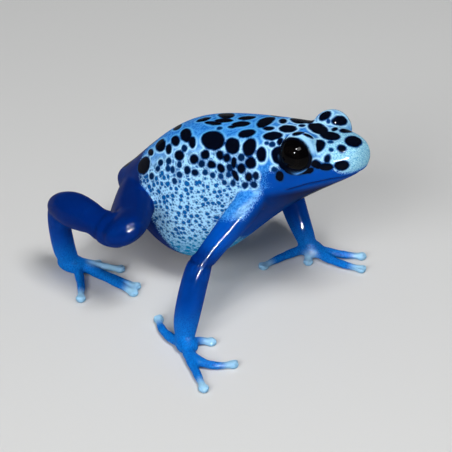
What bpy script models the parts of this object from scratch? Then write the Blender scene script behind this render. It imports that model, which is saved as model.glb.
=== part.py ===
# Blue poison dart frog standing on four feet, life size.
# Metres, +Z up. The frog faces -Y, its left side is +X and its soles lie on z = 0.
# The body is shaped whole from lofted cages, then parted by thin cuts at its joints.
import math

import bmesh
import bpy
from mathutils import Matrix, Vector

MM = 0.001

# Driving dimensions, in millimetres and degrees
BODY_LENGTH = 46.0
VENT_PLACE = (-1.8, 1.4, 12.7)
BODY_PITCH = 21.7
BODY_ROLL = 6.3
BODY_TURN = 2.0
EYE_RADIUS = 2.55
EYE_SPACING = 11.4
EYE_ALONG = 38.0
EYE_HEIGHT = 2.4
LID_THICKNESS = 0.5
LID_INSET = 0.75
DIGIT_RADIUS = 0.76
DIGIT_ROOT_SCALE = 1.25
DIGIT_TIP_SCALE = 0.9
DIGIT_ROOT_HEIGHT = 1.0
DIGIT_TIP_HEIGHT = 0.5
DISC_LENGTH = 1.1
DISC_WIDTH = 1.0
DISC_HEIGHT = 0.62
DISC_SINK = 0.15
GAP = 0.3
# The middle of the footprint, forward and left of the point below the vent
MIDDLE = (16.93, -2.23)

# Shaping settings
BACK_POWER = 2.6
BELLY_POWER = 2.1
BODY_SIDES = 16
LIMB_SIDES = 8
END_REACH = 0.7
END_TAPER = 0.6
BALL_SEGMENTS = 20
BALL_RINGS = 12
CAGE_LEVELS = 2
DIGIT_POINTS = 9
DIGIT_ROUNDING = 3
VOXEL = 0.26
SMOOTH_FACTOR = 0.5
SMOOTH_ROUNDS = 4
FLESH_TRIANGLES = 5100
CUTTER_SIDES = 24
FLOOR_BLOCK = 100.0
MERGE_DISTANCE = 0.01

# Body sections: distance from the vent, half width, top and bottom from the body axis
BODY_SECTIONS = (
    (-1.2, 2.0, 0.7, -2.2),
    (0.4, 3.4, 1.6, -4.7),
    (2.6, 4.9, 2.5, -8.6),
    (5.2, 6.6, 3.9, -12.2),
    (8.5, 8.1, 5.6, -14.6),
    (12.0, 9.1, 7.2, -15.3),
    (16.0, 9.3, 8.2, -14.7),
    (20.5, 8.8, 8.1, -12.7),
    (25.0, 8.1, 7.5, -10.2),
    (29.0, 7.5, 6.8, -8.3),
    (32.5, 7.2, 6.0, -6.8),
    (35.5, 7.1, 5.2, -5.7),
    (38.5, 6.4, 4.5, -4.8),
    (41.3, 5.3, 3.7, -4.0),
    (43.6, 4.1, 2.8, -3.3),
    (45.2, 2.9, 1.9, -2.6),
    (BODY_LENGTH, 1.5, 0.8, -1.4),
)

# Limb segments, each a row of cage sections: forward, left, up, half width, half
# thickness. The half width lies along the segment's own wide direction, and the
# finished limb is about a fifth slimmer than its cage.
FORWARD = (1.0, 0.0, 0.0)
RIGHT_THIGH_WIDE = (0.73, 0.49, 0.47)
LEFT_THIGH_WIDE = (0.78, -0.49, 0.38)
SEGMENTS = {
    "upper_arm_right": (FORWARD, (
        (25.8, -3.5, 20.6, 2.4, 2.4),
        (25.7, -6.6, 19.6, 2.6, 2.6),
        (24.8, -9.6, 17.6, 2.3, 2.3),
        (23.6, -12.2, 15.2, 1.95, 1.95),
        (22.7, -14.0, 13.1, 1.95, 1.95),
    )),
    "forearm_right": (FORWARD, (
        (22.4, -14.3, 12.9, 2.25, 2.1),
        (22.2, -15.7, 10.2, 2.35, 2.2),
        (22.2, -17.2, 6.9, 2.4, 2.15),
        (22.2, -18.4, 4.1, 2.4, 2.0),
        (22.4, -19.2, 1.8, 2.2, 1.7),
    )),
    "upper_arm_left": (FORWARD, (
        (25.4, 5.5, 18.6, 2.4, 2.4),
        (25.0, 8.6, 17.4, 2.6, 2.6),
        (23.6, 11.4, 15.3, 2.3, 2.3),
        (21.6, 13.9, 12.9, 2.1, 2.1),
        (20.6, 15.3, 10.9, 2.2, 2.2),
    )),
    "forearm_left": (FORWARD, (
        (20.7, 15.3, 10.7, 2.2, 2.2),
        (21.6, 14.8, 8.4, 2.4, 2.4),
        (23.5, 13.7, 5.8, 2.2, 2.2),
        (25.3, 12.9, 3.6, 1.9, 1.8),
        (26.1, 12.9, 1.8, 1.75, 1.5),
    )),
    "thigh_right": (RIGHT_THIGH_WIDE, (
        (2.0, -1.0, 12.2, 3.2, 3.4),
        (4.0, -5.0, 13.0, 3.6, 3.4),
        (6.4, -9.5, 14.0, 4.0, 3.1),
        (8.8, -13.7, 15.0, 4.3, 2.8),
        (10.9, -18.2, 16.6, 4.1, 2.6),
    )),
    "shank_right": (FORWARD, (
        (8.6, -16.1, 14.4, 2.9, 2.9),
        (6.2, -16.5, 15.2, 3.4, 3.5),
        (3.4, -16.4, 15.7, 3.5, 3.7),
        (0.4, -15.8, 15.5, 3.3, 3.5),
        (-2.6, -14.7, 14.7, 2.9, 2.9),
        (-4.6, -13.8, 13.6, 2.4, 2.3),
    )),
    "tarsus_right": (FORWARD, (
        (-4.9, -13.5, 13.0, 2.1, 2.1),
        (-5.5, -12.9, 9.3, 2.0, 2.0),
        (-5.5, -12.3, 6.0, 2.15, 2.0),
        (-5.4, -11.9, 3.4, 2.2, 1.9),
        (-4.9, -11.5, 1.8, 2.1, 1.6),
    )),
    "thigh_left": (LEFT_THIGH_WIDE, (
        (2.0, 4.2, 11.6, 3.2, 3.4),
        (4.0, 8.2, 11.5, 3.6, 3.4),
        (6.4, 12.7, 11.5, 4.0, 3.1),
        (8.8, 16.9, 11.6, 4.3, 2.8),
        (10.7, 21.2, 12.1, 4.1, 2.6),
    )),
    "shank_left": (FORWARD, (
        (8.6, 19.6, 10.4, 2.9, 2.9),
        (6.0, 19.8, 11.0, 3.4, 3.5),
        (3.2, 19.2, 11.0, 3.5, 3.7),
        (0.2, 18.5, 10.4, 3.3, 3.5),
        (-2.5, 17.3, 9.4, 2.9, 2.9),
        (-4.1, 16.4, 8.3, 2.4, 2.3),
    )),
    "tarsus_left": (FORWARD, (
        (-4.2, 16.0, 7.8, 2.0, 2.0),
        (-4.5, 15.6, 5.6, 1.9, 1.9),
        (-4.1, 15.2, 3.6, 1.95, 1.8),
        (-3.3, 14.8, 1.9, 1.8, 1.5),
    )),
}

# Palms and soles: forward, left, up, half sizes forward, left and up
PADS = {
    "hand_right": (23.3, -19.8, 1.1, 2.1, 1.8, 1.35),
    "hand_left": (26.8, 12.9, 1.1, 2.1, 1.9, 1.35),
    "foot_right": (-4.4, -11.4, 1.1, 2.8, 1.9, 1.35),
    "foot_left": (-2.4, 14.6, 1.1, 2.3, 1.8, 1.35),
}

# Digits: root forward and left, tip forward and left, sideways bow
DIGITS = {
    "hand_right": (
        (23.4, -20.0, 25.7, -16.6, -0.8),
        (24.2, -20.9, 31.5, -19.6, 1.7),
        (24.0, -21.0, 30.8, -26.8, 0.0),
        (22.4, -19.8, 15.6, -16.0, -0.9),
    ),
    "hand_left": (
        (25.8, 12.6, 22.2, 5.2, 0.3),
        (26.4, 12.6, 27.7, 10.2, 0.0),
        (27.2, 12.9, 36.1, 12.9, 0.7),
        (27.2, 13.4, 34.4, 16.1, 0.4),
    ),
    "foot_right": (
        (-3.6, -10.4, -1.3, -8.7, 0.0),
        (-3.6, -10.4, 2.6, -7.9, 0.1),
        (-3.4, -10.8, 7.5, -10.5, 0.2),
        (-3.4, -11.0, 8.1, -12.2, -0.2),
        (-3.1, -11.9, 1.9, -17.9, -0.3),
    ),
    "foot_left": (
        (-1.8, 14.0, -0.2, 11.0, 0.0),
        (-1.6, 14.2, 4.0, 11.8, 0.0),
        (-1.4, 14.6, 9.4, 14.4, 0.2),
        (-1.4, 14.8, 9.4, 16.7, -0.2),
        (-1.8, 15.2, 4.0, 20.6, 0.3),
    ),
}

# Cuts between segments that bend into each other: radius of the cut, and how far its
# middle lies toward the inside of the bend
JOINT_CUTS = (
    ("upper_arm_right", "forearm_right", 3.3, 0.0),
    ("upper_arm_left", "forearm_left", 3.3, 0.0),
    ("thigh_right", "shank_right", 7.0, 2.6),
    ("thigh_left", "shank_left", 7.0, 2.6),
    ("shank_right", "tarsus_right", 3.8, 0.0),
    ("shank_left", "tarsus_left", 3.8, 0.0),
)

# Cuts straight across a segment: share of its length and radius of the cut
CROSS_CUTS = (
    ("upper_arm_right", 0.42, 3.3),
    ("upper_arm_left", 0.42, 3.3),
    ("thigh_right", 0.52, 4.8),
    ("thigh_left", 0.52, 4.8),
    ("forearm_right", 0.84, 2.8),
    ("forearm_left", 0.84, 2.6),
    ("tarsus_right", 0.84, 2.6),
    ("tarsus_left", 0.84, 2.6),
)
NECK_ALONG = 31.5
NECK_RADIUS = 10.0

# A point inside each part of the body, and the section that lies in each limb part
BODY_LANDMARKS = {"head": (40.0, 0.0, 0.0), "trunk": (14.0, 0.0, -3.0)}
LANDMARK_ROWS = {"upper_arm": 3, "forearm": 2, "thigh": 3, "shank": 3, "tarsus": 2}

# Base colours, roughness of wet skin and of the eyes
DEEP_BLUE = (0.004, 0.045, 0.32, 1.0)
BRIGHT_BLUE = (0.01, 0.16, 0.62, 1.0)
PALE_BLUE = (0.24, 0.55, 0.86, 1.0)
EYE_BLACK = (0.006, 0.005, 0.006, 1.0)
SKIN_ROUGHNESS = 0.32
EYE_ROUGHNESS = 0.06


def at(forward, left, up):
    return Vector((left - MIDDLE[1], MIDDLE[0] - forward, up)) * MM


def direction(forward, left, up):
    return Vector((left, -forward, up)).normalized()


def body_matrix():
    turn = Matrix.Rotation(math.radians(BODY_TURN), 4, "Z")
    pitch = Matrix.Rotation(math.radians(-BODY_PITCH), 4, "X")
    roll = Matrix.Rotation(math.radians(BODY_ROLL), 4, "Y")
    return Matrix.Translation(at(*VENT_PLACE)) @ turn @ pitch @ roll


def on_body(along, left, up):
    return body_matrix() @ (Vector((left, -along, up)) * MM)


def clear_scene():
    for item in list(bpy.data.objects):
        bpy.data.objects.remove(item, do_unlink=True)


def new_collection(name):
    group = bpy.data.collections.new(name)
    bpy.context.scene.collection.children.link(group)
    return group


def mesh_object(name, shape, group):
    mesh = bpy.data.meshes.new(name)
    shape.to_mesh(mesh)
    shape.free()
    item = bpy.data.objects.new(name, mesh)
    group.objects.link(item)
    return item


def body_ring(along, half_width, top, bottom):
    middle = (top + bottom) / 2
    height = (top - bottom) / 2
    ring = []
    for step in range(BODY_SIDES):
        angle = 2 * math.pi * step / BODY_SIDES
        power = BACK_POWER if math.sin(angle) > 0 else BELLY_POWER
        left = math.copysign(abs(math.cos(angle)) ** (2 / power), math.cos(angle))
        up = math.copysign(abs(math.sin(angle)) ** (2 / power), math.sin(angle))
        ring.append(on_body(along, half_width * left, middle + height * up))
    return ring


def limb_rings(wide, sections):
    """Rings along a segment, with a smaller ring beyond each end to round it."""
    centres = [at(*row[:3]) for row in sections]
    rings = []
    for place, (centre, row) in enumerate(zip(centres, sections)):
        before = centres[max(place - 1, 0)]
        after = centres[min(place + 1, len(centres) - 1)]
        along = (after - before).normalized()
        across = along.cross(direction(*wide)).normalized()
        side = across.cross(along).normalized()
        half_width, half_thickness = row[3] * MM, row[4] * MM
        steps = [(centre, 1.0)]
        if place == 0:
            steps.insert(0, (centre - along * half_thickness * END_REACH, END_TAPER))
        if place == len(centres) - 1:
            steps.append((centre + along * half_thickness * END_REACH, END_TAPER))
        for middle, share in steps:
            ring = []
            for step in range(LIMB_SIDES):
                angle = 2 * math.pi * step / LIMB_SIDES
                offset = side * half_width * math.cos(angle) + across * half_thickness * math.sin(angle)
                ring.append(middle + offset * share)
            rings.append(ring)
    return rings


def loft(name, rings, group):
    shape = bmesh.new()
    rows = [[shape.verts.new(point) for point in ring] for ring in rings]
    for lower, upper in zip(rows, rows[1:]):
        for index in range(len(lower)):
            following = (index + 1) % len(lower)
            shape.faces.new((lower[index], lower[following], upper[following], upper[index]))
    shape.faces.new(rows[0])
    shape.faces.new(rows[-1])
    bmesh.ops.recalc_face_normals(shape, faces=shape.faces)
    item = mesh_object(name, shape, group)
    smooth = item.modifiers.new("smooth", "SUBSURF")
    smooth.levels = CAGE_LEVELS
    smooth.render_levels = CAGE_LEVELS
    return item


def ellipsoid(name, centre, half_sizes, group, turn=0.0):
    shape = bmesh.new()
    bmesh.ops.create_uvsphere(shape, u_segments=BALL_SEGMENTS, v_segments=BALL_RINGS, radius=MM)
    stretch = Matrix.Diagonal((*half_sizes, 1))
    bmesh.ops.transform(shape, matrix=Matrix.Rotation(turn, 4, "Z") @ stretch, verts=shape.verts)
    item = mesh_object(name, shape, group)
    item.location = centre
    return item


def digit(name, root_forward, root_left, tip_forward, tip_left, bow, group):
    """A tapering finger or toe that bows sideways and ends in a flat disc."""
    root = at(root_forward, root_left, DIGIT_ROOT_HEIGHT)
    tip = at(tip_forward, tip_left, DIGIT_TIP_HEIGHT)
    run = tip - root
    side = run.cross(Vector((0, 0, 1))).normalized()
    curve = bpy.data.curves.new(name, "CURVE")
    curve.dimensions = "3D"
    curve.bevel_depth = DIGIT_RADIUS * MM
    curve.bevel_resolution = DIGIT_ROUNDING
    curve.use_fill_caps = True
    spline = curve.splines.new("POLY")
    spline.points.add(DIGIT_POINTS - 1)
    for index, point in enumerate(spline.points):
        share = index / (DIGIT_POINTS - 1)
        hump = 4 * share * (1 - share)
        place = root + run * share + side * (bow * hump * MM)
        point.co = (*place, 1)
        point.radius = DIGIT_ROOT_SCALE + (DIGIT_TIP_SCALE - DIGIT_ROOT_SCALE) * share
    item = bpy.data.objects.new(name, curve)
    group.objects.link(item)
    heading = math.atan2(run.y, run.x)
    disc_place = Vector((tip.x, tip.y, (DISC_HEIGHT - DISC_SINK) * MM))
    disc_sizes = (DISC_LENGTH, DISC_WIDTH, DISC_HEIGHT)
    return [item, ellipsoid(f"{name}_disc", disc_place, disc_sizes, group, heading)]


def evaluated_mesh(item):
    bpy.context.view_layer.update()
    depsgraph = bpy.context.evaluated_depsgraph_get()
    mesh = bpy.data.meshes.new_from_object(item.evaluated_get(depsgraph))
    mesh.transform(item.matrix_world)
    return mesh


def join(name, items, group):
    shape = bmesh.new()
    for item in items:
        mesh = evaluated_mesh(item)
        shape.from_mesh(mesh)
        bpy.data.meshes.remove(mesh)
        bpy.data.objects.remove(item, do_unlink=True)
    bmesh.ops.remove_doubles(shape, verts=shape.verts, dist=MERGE_DISTANCE * MM)
    return mesh_object(name, shape, group)


def add_modifier(item, name, kind, **settings):
    modifier = item.modifiers.new(name, kind)
    for key, value in settings.items():
        setattr(modifier, key, value)
    return modifier


def as_cutter(item):
    item.hide_render = True
    item.display_type = "WIRE"
    return item


def disc_cutter(name, centre, normal, radius, group):
    shape = bmesh.new()
    sizes = {"radius1": radius * MM, "radius2": radius * MM, "depth": GAP * MM}
    bmesh.ops.create_cone(shape, cap_ends=True, segments=CUTTER_SIDES, **sizes)
    item = mesh_object(name, shape, group)
    item.matrix_world = Matrix.Translation(centre) @ normal.to_track_quat("Z", "Y").to_matrix().to_4x4()
    return as_cutter(item)


def floor_cutter(group):
    shape = bmesh.new()
    bmesh.ops.create_cube(shape, size=FLOOR_BLOCK * MM)
    item = mesh_object("floor_cutter", shape, group)
    item.location = (0, 0, -FLOOR_BLOCK / 2 * MM)
    return as_cutter(item)


def joint_cutter(first, second, radius, inset, group):
    """A cut along the plane that halves the bend between two segments."""
    first_rows = SEGMENTS[first][1]
    second_rows = SEGMENTS[second][1]
    incoming = (at(*first_rows[-1][:3]) - at(*first_rows[0][:3])).normalized()
    outgoing = (at(*second_rows[-1][:3]) - at(*second_rows[0][:3])).normalized()
    centre = (at(*first_rows[-1][:3]) + at(*second_rows[0][:3])) / 2
    centre += (outgoing - incoming).normalized() * inset * MM
    return disc_cutter(f"{second}_cutter", centre, (incoming + outgoing).normalized(), radius, group)


def cross_cutter(name, share, radius, group):
    centres = [at(*row[:3]) for row in SEGMENTS[name][1]]
    reach = share * (len(centres) - 1)
    place = min(int(reach), len(centres) - 2)
    run = centres[place + 1] - centres[place]
    centre = centres[place] + run * (reach - place)
    return disc_cutter(f"{name}_end_cutter", centre, run.normalized(), radius, group)


def make_material(name, colour, roughness):
    material = bpy.data.materials.new(name)
    material.use_nodes = True
    shader = material.node_tree.nodes["Principled BSDF"]
    shader.inputs["Base Color"].default_value = colour
    shader.inputs["Roughness"].default_value = roughness
    shader.inputs["Metallic"].default_value = 0.0
    return material


def make_flesh(frog):
    pieces = [loft("body", [body_ring(*row) for row in BODY_SECTIONS], frog)]
    for name, (wide, sections) in SEGMENTS.items():
        pieces.append(loft(name, limb_rings(wide, sections), frog))
    for name, row in PADS.items():
        forward, left, up = row[3:]
        pieces.append(ellipsoid(f"{name}_pad", at(*row[:3]), (left, forward, up), frog))
    for name, rows in DIGITS.items():
        for number, row in enumerate(rows):
            pieces += digit(f"{name}_{number}", *row, frog)
    lid = EYE_RADIUS + LID_THICKNESS
    for side in (-1, 1):
        centre = on_body(EYE_ALONG, side * (EYE_SPACING / 2 - LID_INSET), EYE_HEIGHT)
        pieces.append(ellipsoid("lid", centre, (lid, lid, lid), frog))
    return join("flesh", pieces, frog)


def finish_flesh(flesh, cutters):
    add_modifier(flesh, "remesh", "REMESH", mode="VOXEL", voxel_size=VOXEL * MM)
    add_modifier(flesh, "relax", "SMOOTH", factor=SMOOTH_FACTOR, iterations=SMOOTH_ROUNDS)
    triangles = sum(len(face.vertices) - 2 for face in evaluated_mesh(flesh).polygons)
    add_modifier(flesh, "thin", "DECIMATE", ratio=FLESH_TRIANGLES / triangles)
    neck_normal = (on_body(1, 0, 0) - on_body(0, 0, 0)).normalized()
    tools = [disc_cutter("neck_cutter", on_body(NECK_ALONG, 0, 0), neck_normal, NECK_RADIUS, cutters)]
    tools += [joint_cutter(*row, cutters) for row in JOINT_CUTS]
    tools += [cross_cutter(*row, cutters) for row in CROSS_CUTS]
    tools.append(floor_cutter(cutters))
    socket = EYE_RADIUS + GAP
    for side in (-1, 1):
        centre = on_body(EYE_ALONG, side * EYE_SPACING / 2, EYE_HEIGHT)
        tools.append(as_cutter(ellipsoid("socket_cutter", centre, (socket, socket, socket), cutters)))
    for tool in tools:
        add_modifier(flesh, tool.name, "BOOLEAN", operation="DIFFERENCE", solver="EXACT", object=tool)


def loose_bodies(mesh):
    """The separate closed bodies of a mesh, each as a set of vertex numbers."""
    shape = bmesh.new()
    shape.from_mesh(mesh)
    seen = set()
    bodies = []
    for start in shape.verts:
        if start.index in seen:
            continue
        body = {start.index}
        front = [start]
        while front:
            for edge in front.pop().link_edges:
                for vertex in edge.verts:
                    if vertex.index not in body:
                        body.add(vertex.index)
                        front.append(vertex)
        seen |= body
        bodies.append(body)
    shape.free()
    return bodies


def part_flesh(flesh, landmarks, group):
    """Give each loose body of the cut flesh the name of the landmark nearest to it."""
    mesh = evaluated_mesh(flesh)
    bodies = loose_bodies(mesh)
    owners = {}
    for name, landmark in landmarks.items():
        distances = [(vertex.co - landmark).length for vertex in mesh.vertices]
        nearest = min(range(len(distances)), key=distances.__getitem__)
        owners[name] = next(number for number, body in enumerate(bodies) if nearest in body)
    nodes = {}
    for name, number in owners.items():
        shape = bmesh.new()
        shape.from_mesh(mesh)
        shape.verts.ensure_lookup_table()
        others = [vertex for vertex in shape.verts if vertex.index not in bodies[number]]
        bmesh.ops.delete(shape, geom=others, context="VERTS")
        nodes[name] = mesh_object(name, shape, group)
    bpy.data.objects.remove(flesh, do_unlink=True)
    return nodes


def segment_landmark(name):
    kind = name.rsplit("_", 1)[0]
    return at(*SEGMENTS[name][1][LANDMARK_ROWS[kind]][:3])


def make_frog():
    clear_scene()
    frog = new_collection("blue_poison_dart_frog")
    cutters = new_collection("cutters")
    flesh = make_flesh(frog)
    finish_flesh(flesh, cutters)
    landmarks = {name: on_body(*place) for name, place in BODY_LANDMARKS.items()}
    landmarks.update({name: segment_landmark(name) for name in SEGMENTS})
    landmarks.update({name: at(*row[:3]) for name, row in PADS.items()})
    nodes = part_flesh(flesh, landmarks, frog)
    for side, name in ((-1, "eye_right"), (1, "eye_left")):
        centre = on_body(EYE_ALONG, side * EYE_SPACING / 2, EYE_HEIGHT)
        nodes[name] = ellipsoid(name, centre, (EYE_RADIUS, EYE_RADIUS, EYE_RADIUS), frog)
    for name, node in nodes.items():
        colour = DEEP_BLUE
        if name.startswith(("hand", "foot", "forearm", "tarsus")):
            colour = BRIGHT_BLUE
        if name in BODY_LANDMARKS:
            colour = PALE_BLUE
        if name.startswith("eye"):
            colour = EYE_BLACK
        roughness = EYE_ROUGHNESS if name.startswith("eye") else SKIN_ROUGHNESS
        node.data.materials.clear()
        node.data.materials.append(make_material(name, colour, roughness))
        node.data.shade_smooth()


make_frog()
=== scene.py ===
import math
import random

import bmesh
import bpy
import numpy as np
from mathutils import Matrix, Vector
from mathutils.bvhtree import BVHTree


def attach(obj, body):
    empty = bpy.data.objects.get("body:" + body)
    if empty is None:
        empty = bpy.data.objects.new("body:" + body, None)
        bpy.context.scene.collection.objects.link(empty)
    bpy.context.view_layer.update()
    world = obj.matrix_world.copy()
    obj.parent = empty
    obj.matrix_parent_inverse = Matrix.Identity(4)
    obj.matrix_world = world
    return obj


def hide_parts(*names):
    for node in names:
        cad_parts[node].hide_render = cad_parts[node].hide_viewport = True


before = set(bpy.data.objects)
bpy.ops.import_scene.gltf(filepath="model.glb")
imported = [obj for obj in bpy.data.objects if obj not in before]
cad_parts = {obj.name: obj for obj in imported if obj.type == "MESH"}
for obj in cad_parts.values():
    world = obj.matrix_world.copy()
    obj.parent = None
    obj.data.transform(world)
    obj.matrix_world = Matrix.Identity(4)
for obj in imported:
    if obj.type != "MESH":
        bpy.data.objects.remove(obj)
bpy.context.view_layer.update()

# A blue poison dart frog in wet spotted skin, life size, standing on four feet.
# Sizes are in millimetres and angles in degrees. Forward, left and up are counted
# from the floor point near the vent; the frog faces -Y and its left side is +X.

mm = 0.001
fleshNodes = sorted(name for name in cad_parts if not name.startswith("eye"))
print("frame loaded with", len(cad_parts), "solids")

# how the body is held, and the middle of the footprint
stance = {
    "vent": (-1.8, 1.4, 12.7),
    "pitch": 21.7,
    "roll": 6.3,
    "turn": 2.0,
    "middle": (16.93, -2.23),
}


def rowWay(forward, left, up):
    return Vector((left, -forward, up))


def at(forward, left, up):
    middleForward, middleLeft = stance["middle"]
    return Vector((left - middleLeft, middleForward - forward, up)) * mm


bodyPlace = (
    Matrix.Translation(at(*stance["vent"]))
    @ Matrix.Rotation(math.radians(stance["turn"]), 4, "Z")
    @ Matrix.Rotation(math.radians(-stance["pitch"]), 4, "X")
    @ Matrix.Rotation(math.radians(stance["roll"]), 4, "Y")
)


def onBody(along, left, up):
    return bodyPlace @ (rowWay(along, left, up) * mm)


def bodyWay(along, left, up):
    return (bodyPlace.to_3x3() @ rowWay(along, left, up)).normalized()


# camera: aimed at a point on the body from the photo's side, level with its horizon
view = {
    "aim": (20.1, -3.17, 12.48),
    "toward": (0.437, -0.7045, 0.5592),
    "distance": 300.0,
    "lens": 151.5,
    "sensor": 36.0,
    "imagePixels": 452,
    "nearest": 10.0,
    "furthest": 10000.0,
}


def makeCamera():
    toward = rowWay(*view["toward"]).normalized()
    bpy.ops.object.camera_add(location=at(*view["aim"]) + toward * view["distance"] * mm)
    camera = bpy.context.object
    camera.name = "photoCamera"
    camera.rotation_euler = (-toward).to_track_quat("-Z", "Y").to_euler()
    camera.data.lens = view["lens"]
    camera.data.sensor_width = view["sensor"]
    camera.data.clip_start = view["nearest"] * mm
    camera.data.clip_end = view["furthest"] * mm
    bpy.context.scene.camera = camera
    bpy.context.view_layer.update()
    return camera


def pixelRay(camera, across, down):
    # the ray through a pixel of the 452 pixel image
    middle = view["imagePixels"] / 2
    perPixel = view["sensor"] / view["lens"] / view["imagePixels"]
    way = Vector(((across - middle) * perPixel, (middle - down) * perPixel, -1.0))
    return camera.location.copy(), (camera.matrix_world.to_3x3() @ way).normalized()


# sides and rings of the balls, and rounds of smoothing of the lofts
fineness = {
    "ballSides": 32,
    "ballRings": 16,
    "eyeSides": 64,
    "eyeRings": 40,
    "limbLevels": 2,
    "digitLevels": 1,
}


def deselectAll():
    bpy.ops.object.select_all(action="DESELECT")


def makeActive(piece):
    deselectAll()
    piece.select_set(True)
    bpy.context.view_layer.objects.active = piece


def applied(piece, kind, **settings):
    makeActive(piece)
    change = piece.modifiers.new(kind.title(), kind)
    for key, value in settings.items():
        setattr(change, key, value)
    bpy.ops.object.modifier_apply(modifier=change.name)


def ringAt(centre, side, across):
    # carries the unit circle to a section of a limb or of the body
    along = side.cross(across).normalized() * mm
    return Matrix.Translation(centre) @ Matrix((side, across, along)).transposed().to_4x4()


def loft(name, rings, sides, levels, upperPower=2.0, lowerPower=2.0):
    # a filled circle is extruded from section to section, then smoothed
    deselectAll()
    bpy.ops.mesh.primitive_circle_add(vertices=sides, radius=1.0, fill_type="NGON")
    piece = bpy.context.object
    piece.name = name
    for corner in piece.data.vertices:
        power = upperPower if corner.co.y > 0 else lowerPower
        corner.co.x = math.copysign(abs(corner.co.x) ** (2 / power), corner.co.x)
        corner.co.y = math.copysign(abs(corner.co.y) ** (2 / power), corner.co.y)
    piece.data.transform(rings[0])
    bpy.ops.object.mode_set(mode="EDIT")
    bpy.ops.mesh.select_all(action="SELECT")
    for last, following in zip(rings, rings[1:]):
        bpy.ops.mesh.extrude_region_move()
        shape = bmesh.from_edit_mesh(piece.data)
        moved = [corner for corner in shape.verts if corner.select]
        bmesh.ops.transform(shape, matrix=following @ last.inverted(), verts=moved)
    bmesh.update_edit_mesh(piece.data)
    bpy.ops.mesh.select_all(action="SELECT")
    bpy.ops.mesh.normals_make_consistent(inside=False)
    bpy.ops.object.mode_set(mode="OBJECT")
    applied(piece, "SUBSURF", levels=levels, render_levels=levels)
    return piece


def roundBall(name, sides, rings, radius, centre=(0.0, 0.0, 0.0)):
    deselectAll()
    bpy.ops.mesh.primitive_uv_sphere_add(
        segments=fineness[sides], ring_count=fineness[rings], radius=radius, location=centre
    )
    piece = bpy.context.object
    piece.name = name
    return piece


def ball(name, centre, halfSizes, turn=0.0):
    piece = roundBall(name, "ballSides", "ballRings", 1.0, centre)
    piece.scale = Vector(halfSizes) * mm
    piece.rotation_euler = (0.0, 0.0, turn)
    bpy.ops.object.transform_apply(location=True, rotation=True, scale=True)
    return piece


# trunk and head: distance from the vent, half width, top and bottom from the body axis
body = {
    "sides": 16,
    "backPower": 2.6,
    "bellyPower": 2.1,
    "sections": (
        (-1.2, 2.0, 0.7, -2.2),
        (0.4, 3.4, 1.6, -4.7),
        (2.6, 4.9, 2.5, -8.6),
        (5.2, 6.6, 3.9, -12.2),
        (8.5, 8.1, 5.6, -14.6),
        (12.0, 9.1, 7.2, -15.3),
        (16.0, 9.3, 8.2, -14.7),
        (20.5, 8.8, 8.1, -12.7),
        (25.0, 8.1, 7.5, -10.2),
        (29.0, 7.5, 6.8, -8.3),
        (32.5, 7.2, 6.0, -6.8),
        (35.5, 7.1, 5.2, -5.7),
        (38.5, 6.4, 4.5, -4.8),
        (41.3, 5.3, 3.7, -4.0),
        (43.6, 4.1, 2.8, -3.3),
        (45.2, 2.9, 1.9, -2.6),
        (46.0, 1.5, 0.8, -1.4),
    ),
}


def makeBody():
    rings = []
    for along, halfWidth, top, bottom in body["sections"]:
        side = bodyWay(0, 1, 0) * halfWidth * mm
        across = bodyWay(0, 0, 1) * (top - bottom) / 2 * mm
        rings.append(ringAt(onBody(along, 0, (top + bottom) / 2), side, across))
    powers = body["backPower"], body["bellyPower"]
    return loft("bodyCage", rings, body["sides"], fineness["limbLevels"], *powers)


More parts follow.
